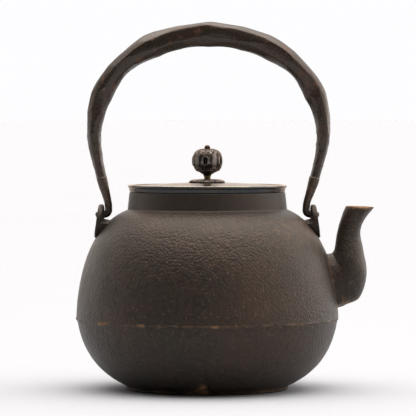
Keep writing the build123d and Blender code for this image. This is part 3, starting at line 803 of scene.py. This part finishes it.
def handle_hook(side):
    """Round bar carried along the tang, the leg, the bend and the pin through the lug, with a
    rounded tip."""
    tang = handle_line(np.linspace(GRIP_START + 0.14, GRIP_START + 0.024, 8))
    leg = handle_line(np.linspace(GRIP_START + 0.02, 0.0, 17))
    turn = np.linspace(np.pi, 1.5 * np.pi, 12)
    bend = np.stack([LUG_INNER + BEND * np.cos(turn), LEG_TOP + BEND * np.sin(turn)], axis=1)
    across = np.linspace(LUG_INNER, 67.3 * MM, 10)
    droop = 0.4 * MM * ((across - LUG_INNER) / (5 * MM)) ** 2
    pin = np.stack([across, HINGE.z - droop], axis=1)
    line = np.concatenate([tang, leg, bend[1:], pin[1:]])
    tangent, normal = directions(line)
    lengths = [len(tang), len(leg), len(bend) - 1, len(pin) - 1]
    thick, wide = hook_radii(lengths, 3.3)[:, None], hook_radii(lengths, 3.6)[:, None]
    around = circle(48)
    cosine, sine = np.cos(around), np.sin(around)
    tube = carried(line, normal, thick * cosine, wide * sine)
    cap = np.linspace(0, np.pi / 2, 6)[1:-1, None]
    middle = line[-1] + tangent[-1] * 1.2 * MM * np.sin(cap)
    last = thick[-1] * np.cos(cap)
    dome = carried(middle, normal[[-1] * len(cap)], last * cosine, last * sine)
    places = np.concatenate([tube, dome])
    rough = 0.10 * MM * grain(places, 3.4 * MM, 61 + side) * (np.arange(len(places)) > 8)[:, None]
    places = pushed(places, False, rough)
    near = np.hypot(places[..., 0] - 65 * MM, places[..., 2] - HINGE.z)
    hollow = 0.2 + 0.8 * hump(near, 5 * MM)
    places[..., 0] *= side
    name = "hook_right_bar" if side > 0 else "hook_left_bar"
    return surface(name, leaned(places), False, {"hollow": hollow})


# ------------------------------------------------------------------- lid
def lid_plate():
    """Closed half section carried round Z: a flared edge with a bead on top, a thin plate that
    rises to the knob's seat, and a flat ring that rests on the neck's rim."""
    edge, base, seat = LID_LOW.z + 5.3 * MM, LID_LOW.z + RIM_LIFT, LID_HIGH.z
    outer, hub, inner = LID_HIGH.x, 1.5 * MM, SKIRT_HIGH.x - 1.5 * MM
    under = seat - 4.4 * MM
    t = np.linspace(0, 1, 9)[1:-1]
    brink = (outer - 2.6 * MM, edge - 0.55 * MM)
    rise = (29 * MM, seat - 0.5 * MM)
    top = cubic([(12 * MM, seat), rise, (40 * MM, edge - 0.7 * MM), brink], t)
    hollow, fall = under + 2.4 * MM, (29 * MM, under + 1.9 * MM)
    low = cubic([(inner, under), fall, (18 * MM, hollow), (12 * MM, hollow)], t)
    points = [
        (hub, hollow), (hub, seat), (12 * MM, seat), *top,
        (outer - 2.2 * MM, edge - 0.5 * MM), (outer - 1.6 * MM, edge), (outer - 0.1 * MM, edge),
        (outer, edge - 1.3 * MM), (outer - 0.75 * MM, edge - 1.9 * MM),
        (outer - 0.95 * MM, base + 0.9 * MM), (outer - 1.2 * MM, base),
        (inner, base), (inner, under), *low,
    ]
    places = turned(refined(rounded(points, 0.35 * MM), 1.3 * MM), 256)
    waves = 0.07 * MM * grain(places, 13 * MM, 71) + 0.02 * MM * grain(places, 2 * MM, 72)
    calm = ramp(3 * MM, 8 * MM, np.hypot(places[..., 0], places[..., 1]))
    free = calm * (places[..., 2] > base + 0.3 * MM)
    places = pushed(places, True, waves * free)
    radius = np.hypot(places[..., 0], places[..., 1])
    # Painted highlight on the bead at the top of the edge, and painted shade below the upper side,
    # where upper is 0.
    painted_light = hump(radius - outer + 0.8 * MM, 1.0 * MM) * hump(places[..., 2] - edge, 0.6 * MM)
    upper = ramp(edge - 1.1 * MM, edge - 0.6 * MM, places[..., 2])
    marks = {"painted_light": upper + painted_light * (0.7 + 0.4 * grain(places, 7 * MM, 73))}
    return surface("lid_plate_casting", places, True, marks)


def ring(name, points, rounding, columns, marks=None):
    """Closed half section with rounded corners, carried round Z."""
    places = turned(refined(rounded(points, rounding), 0.8 * MM), columns)
    values = {mark: np.full(places.shape[:2], value) for mark, value in (marks or {}).items()}
    return surface(name, places, True, values)


def lid_skirt():
    """Plain ring under the lid."""
    outer, low, high = SKIRT_HIGH.x, SKIRT_LOW.z, SKIRT_HIGH.z
    inner = outer - 1.5 * MM
    points = [(inner, low), (inner, high), (outer, high), (outer, low)]
    # The mark is 0, so the ring takes the lid's painted shade.
    return ring("skirt_ring", points, 0.4 * MM, 192, {"painted_light": 0})


# ------------------------------------------------------------------- knob
PETALS = 5
PIN_HOLE = 1.5 * MM
TILE_SIDE = 12
KNOB_TURN = np.radians(-7.5 - 90)
WASHER_LOW, WASHER_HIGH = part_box("knob_washer")
COLLAR_LOW, COLLAR_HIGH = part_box("knob_collar")
PIN_LOW, PIN_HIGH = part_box("knob_pin")
BACK_LOW, BACK_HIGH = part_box("lid_back_washer")


def from_petal(angles, count, turn):
    """Angle from the middle of the nearest of count petals."""
    step = 2 * np.pi / count
    return (angles - turn + step / 2) % step - step / 2


def knob_washer():
    """Blossom: its outline is five circles, each petal is puffed up and creased along its
    middle, and a ring of small pips stands round the collar."""
    around = circle(160)
    hole, offset, petal = PIN_HOLE, 5.7 * MM, 5.6 * MM
    turn = from_petal(around, PETALS, KNOB_TURN)
    reach = offset * np.cos(turn) + np.sqrt(petal**2 - (offset * np.sin(turn)) ** 2)
    share = np.linspace(0, 1, 26)[:, None]
    span = hole + share * (reach - hole)
    inward = np.hypot(span * np.cos(turn) - offset, span * np.sin(turn)) / petal
    puff = np.sqrt(np.clip(1 - inward**2.5, 0, 1))
    top = WASHER_LOW.z + (0.45 + 1.7 * puff) * MM
    crease = 0.35 * MM * hump(turn, 0.045) * ramp(0.25, 0.45, share) * (1 - ramp(0.8, 0.95, share))
    hub = 0.8 * MM * (1 - ramp(2.6 * MM, 3.6 * MM, span))
    pips = 0.3 * MM * hump(span - 4.4 * MM, 0.5 * MM) * (0.5 + 0.5 * np.cos(around * 15))
    high = np.minimum(top - crease + hub + pips, WASHER_HIGH.z)
    raised = blend(0.45, 1, ramp(0.7 * MM, 1.9 * MM, high - WASHER_LOW.z))
    low = np.full(high.shape, WASHER_LOW.z)
    x, y = span * np.cos(around), span * np.sin(around)
    upper, lower = np.stack([x, y, high], axis=-1), np.stack([x, y, low], axis=-1)[::-1]
    marks = {"raised": np.concatenate([raised, 0 * raised])}
    return surface("washer_blossom", np.concatenate([upper, lower]), True, marks)


def knob_collar():
    """Short collar with a waist between two beads."""
    low, high = COLLAR_LOW.z, COLLAR_HIGH.z
    outer, inner = COLLAR_HIGH.x, PIN_HOLE
    middle = (low + high) / 2
    points = [
        (inner, low), (outer, low), (outer, low + 0.55 * MM), (outer - 0.4 * MM, middle),
        (outer, high - 0.55 * MM), (outer, high), (inner, high),
    ]
    return ring("collar_ring", points, 0.2 * MM, 64)


def ball_point(turn, lift, raise_by):
    """Point of the ball at an angle round it and a latitude, both raised to the power 0.8 for
    its flat top and bottom, and moved out by raise_by."""
    foot = 1.6 * MM
    middle, half = (KNOB_LOW.z + foot + KNOB_HIGH.z) / 2, (KNOB_HIGH.z - KNOB_LOW.z - foot) / 2
    flat = np.abs(np.cos(lift)) ** 0.8 * (KNOB_HIGH.x - 0.35 * MM + raise_by)
    height = np.sign(np.sin(lift)) * np.abs(np.sin(lift)) ** 0.8 * (half - 0.1 * MM + raise_by)
    return np.stack([flat * np.cos(turn), flat * np.sin(turn), middle + height], axis=-1)


def chasing(turn, lift):
    """Height of the ball's decoration: five round lobes, a groove between them, a fine double
    line along each rib, and flutes round the top and bottom."""
    petal = from_petal(turn, PETALS, KNOB_TURN + np.pi / PETALS)
    lobe = np.cos(petal * PETALS / 2) ** 2
    belt = 1 - ramp(0.75, 1.05, np.abs(lift))
    lines = hump(np.abs(petal) - 0.15 - 0.1 * np.cos(lift * 2), 0.035) * belt
    flutes = np.cos(turn * 20) * ramp(0.7, 0.95, np.abs(lift))
    flutes = flutes * (1 - ramp(1.25, 1.45, np.abs(lift)))
    collar = hump(np.abs(lift) - 0.82, 0.07)
    return (0.28 * lobe * belt + 0.22 * flutes + 0.25 * collar - 0.4 * lines) * MM


def pierced_tile(turn, lift, width, tall, hole_wide, hole_tall):
    """Rectangle of the ball's skin with an oval hole. Rings of points run from the hole's edge
    to the rectangle's, where they are evenly spaced so that neighbours share them."""
    t = np.arange(TILE_SIDE) / TILE_SIDE * 2 - 1
    one = np.ones(TILE_SIDE)
    frame_x = np.concatenate([one, -t, -one, t])
    frame_y = np.concatenate([t, one, -t, -one])
    angle = np.arctan2(frame_y * tall / hole_tall, frame_x * width / hole_wide)
    share = (np.linspace(0, 1, 9) ** 1.3)[:, None]
    x = blend(np.cos(angle) * hole_wide, frame_x * width, share)
    y = blend(np.sin(angle) * hole_tall, frame_y * tall, share)
    rim = (1 - share) + 0 * x
    return turn + x, lift + y, rim


def knob_shell():
    """Ball pierced by three belts of holes. Each belt is a row of tiles, and the caps are
    grids that meet the belts' edges, all joined at their shared points, then given a wall."""
    belts = [
        (0.0, 0.40, 0.13, 0.29, 0.0),
        (0.62, 0.22, 0.13, 0.12, np.pi / PETALS),
        (-0.62, 0.22, 0.13, 0.12, np.pi / PETALS),
    ]
    places, quads, raised = [], [], []
    total = 0
    width = np.pi / PETALS
    for lift, tall, hole_wide, hole_tall, shift in belts:
        for k in range(PETALS):
            turn = KNOB_TURN + shift + 2 * width * k
            u, v, rim = pierced_tile(turn, lift, width, tall, hole_wide, hole_tall)
            decor = chasing(u, v) + 0.3 * MM * hump(rim - 0.86, 0.14)
            quads.append(cells_of(np.arange(u.size).reshape(u.shape) + total))
            places.append(ball_point(u, v, decor).reshape(-1, 3))
            raised.append(decor.ravel())
            total += u.size
    fans = []
    for sign in (1, -1):
        turn = KNOB_TURN + width * (np.arange(TILE_SIDE * PETALS) / TILE_SIDE * 2 - 1)
        lift = sign * blend(0.84, np.pi / 2, np.linspace(0, 1, 14))[:-1, None]
        decor = chasing(turn + 0 * lift, lift + 0 * turn)
        grid = np.arange(decor.size).reshape(decor.shape) + total
        quads.append(cells_of(grid)[:, ::sign])
        places.append(ball_point(turn + 0 * lift, lift + 0 * turn, decor).reshape(-1, 3))
        places.append(ball_point(0.0, sign * np.pi / 2, 0.0)[None])
        fans.append(fan_of(grid[-1], total + decor.size)[:, ::sign])
        raised.append(np.append(decor.ravel(), 0))
        total += decor.size + 1
    raised = np.concatenate(raised)
    spread = ramp(-0.15 * MM, 0.45 * MM, raised)
    parts = (np.concatenate(rows) for rows in (places, quads, fans))
    return joined(add_mesh("knob_ball", *parts, {"raised": spread}))


def joined(piece):
    """Merges a mesh's shared points and turns its faces outwards."""
    work = bmesh.new()
    work.from_mesh(piece.data)
    bmesh.ops.remove_doubles(work, verts=work.verts, dist=0.01 * MM)
    bmesh.ops.recalc_face_normals(work, faces=work.faces)
    work.to_mesh(piece.data)
    work.free()
    wall = piece.modifiers.new("wall", "SOLIDIFY")
    wall.thickness = 1.2 * MM
    wall.offset = -1
    return piece


def knob_foot():
    """Cone that carries the ball on its collar."""
    low, inner = KNOB_LOW.z, PIN_HOLE
    points = [
        (inner, low), (2.3 * MM, low), (2.5 * MM, low + 0.7 * MM),
        (4.6 * MM, low + 2.0 * MM), (4.2 * MM, low + 2.7 * MM), (inner, low + 2.7 * MM),
    ]
    return ring("knob_foot", points, 0.25 * MM, 64, {"raised": 0.3})


def knob_pin():
    """Pin with a pointed bead on top and a hammered rivet head below."""
    tip, low, stem = PIN_HIGH.z, PIN_LOW.z, 1.4 * MM
    bead = np.linspace(0.15, np.pi - 0.75, 14)
    crown = np.stack([1.85 * MM * np.sin(bead), tip - 2.3 * MM + 1.8 * MM * np.cos(bead)], axis=1)
    tail = BACK_LOW.z
    profile = np.concatenate(
        [
            crown,
            [[stem, tip - 3.4 * MM], [stem, tip - 8 * MM]],
            [[stem, tail + 6 * MM], [stem, tail + 0.05 * MM]],
            [[2.5 * MM, tail], [2.6 * MM, tail - 0.3 * MM], [2.1 * MM, low + 0.3 * MM]],
            [[1.2 * MM, low], [0.4 * MM, low]],
        ]
    )
    places = turned(profile, 48)
    marks = {"tarnish": (places[..., 2] > KNOB_LOW.z).astype(float)}
    return surface("pin_and_bead", places, False, marks)


def back_washer():
    """Plain washer under the lid."""
    outer, low, high = BACK_HIGH.x, BACK_LOW.z, BACK_HIGH.z
    points = [(PIN_HOLE, low), (outer, low), (outer, high), (PIN_HOLE, high)]
    return ring("back_washer_disc", points, 0.25 * MM, 96)


# ------------------------------------------------------------------- studio
def studio():
    """Pale floor, a bright studio all round that is darker on the camera's side, and a soft
    lamp above."""
    floor = bpy.data.meshes.new("studio_floor")
    reach = 300.0
    corners = [(-reach, -reach, 0), (reach, -reach, 0), (reach, reach, 0), (-reach, reach, 0)]
    floor.from_pydata(corners, [], [(0, 1, 2, 3)])
    piece = linked("studio_floor", floor)
    board = new_board("pale_paper")
    fibre = board.noise(0.4, 2.0)
    base = board.mix(fibre, colour(165, 169, 175), colour(168, 172, 178))
    normal = board.bump(board.noise(2 * MM), 0.02 * MM, 0.2)
    floor.materials.append(shaded(board, base, 0.9, 0.0, normal, 0.1, (1, 1, 1, 1)))

    world = bpy.data.worlds.new("studio")
    bpy.context.scene.world = world
    board = Board(world)
    direction = board.node("ShaderNodeTexCoord", {}, {}, "Generated")
    parts = board.node("ShaderNodeSeparateXYZ", {}, {"Vector": direction}, 0).socket.node.outputs
    x, y, z = (Signal(board, parts[k]) for k in range(3))
    behind = board.band(y, -0.6, 0.5)
    level = 0.02 + 1.15 * behind + 4.4 * board.band(z, 0.6, 0.98)
    level = level + 1.6 * board.band(x, 0.25, 0.95) + 0.05 * board.band(x, -0.3, -0.95)
    seen = board.node("ShaderNodeLightPath", {}, {}, "Is Camera Ray")
    level = level * (1 - seen) + seen
    tone = board.mix(seen, (1.0, 0.93, 0.87, 1), (0.985, 0.985, 1.0, 1))
    sky = board.node("ShaderNodeBackground", {}, {"Color": tone, "Strength": level})
    board.node("ShaderNodeOutputWorld", {}, {"Surface": sky})

    lamp = bpy.data.lights.new("soft_box", "AREA")
    lamp.shape = "RECTANGLE"
    lamp.size, lamp.size_y = 0.9, 0.6
    lamp.energy = 1.5
    aim_at(linked("soft_box", lamp), (0.45, -0.35, 1.2), (0, 0, 0.1))


def aim_at(piece, spot, target):
    """Puts a lamp or camera at a spot, looking at the target."""
    piece.location = spot
    way = Vector(target) - piece.location
    piece.rotation_euler = way.to_track_quat("-Z", "Y").to_euler()


def camera():
    """Long lens, level with the middle of the handle's opening."""
    distance, height, aim, frame_height, right = 1.87, 0.165, 0.1107, 0.2543, 0.0004
    lens = bpy.data.cameras.new("camera")
    lens.sensor_width = 36
    lens.lens = lens.sensor_width * distance / frame_height
    lens.clip_end = 1000
    piece = linked("camera", lens)
    aim_at(piece, (right, -distance, height), (right, 0, aim))
    bpy.context.scene.camera = piece


# ------------------------------------------------------------------- assembly
bpy.context.scene.view_settings.view_transform = "Standard"
camera()
studio()
MAKERS = (sand_cast_iron, forged_iron, lid_bronze, knob_bronze, knob_brass)
FINISHES = {maker.__name__: maker() for maker in MAKERS}

place(pot(), "pot_body", ["pot_bowl", "pot_shoulder"], "sand_cast_iron")
place(spout(), "pot_body", ["spout"], "sand_cast_iron")
place(lug(1), "pot_body", ["lug_right"], "sand_cast_iron")
place(lug(-1), "pot_body", ["lug_left"], "sand_cast_iron")
place(handle_grip(), "handle", ["handle_grip"], "forged_iron")
place(handle_hook(1), "handle", ["handle_hook_right"], "forged_iron")
place(handle_hook(-1), "handle", ["handle_hook_left"], "forged_iron")
place(lid_plate(), "lid", ["lid_plate"], "lid_bronze")
place(lid_skirt(), "lid", ["lid_skirt"], "lid_bronze")
place(knob_washer(), "lid", ["knob_washer"], "knob_bronze")
place(knob_collar(), "lid", ["knob_collar"], "knob_brass")
place(knob_shell(), "lid", ["knob"], "knob_bronze")
place(knob_foot(), "lid", [], "knob_bronze")
place(knob_pin(), "lid", ["knob_pin"], "knob_brass")
place(back_washer(), "lid", ["lid_back_washer"], "knob_brass")
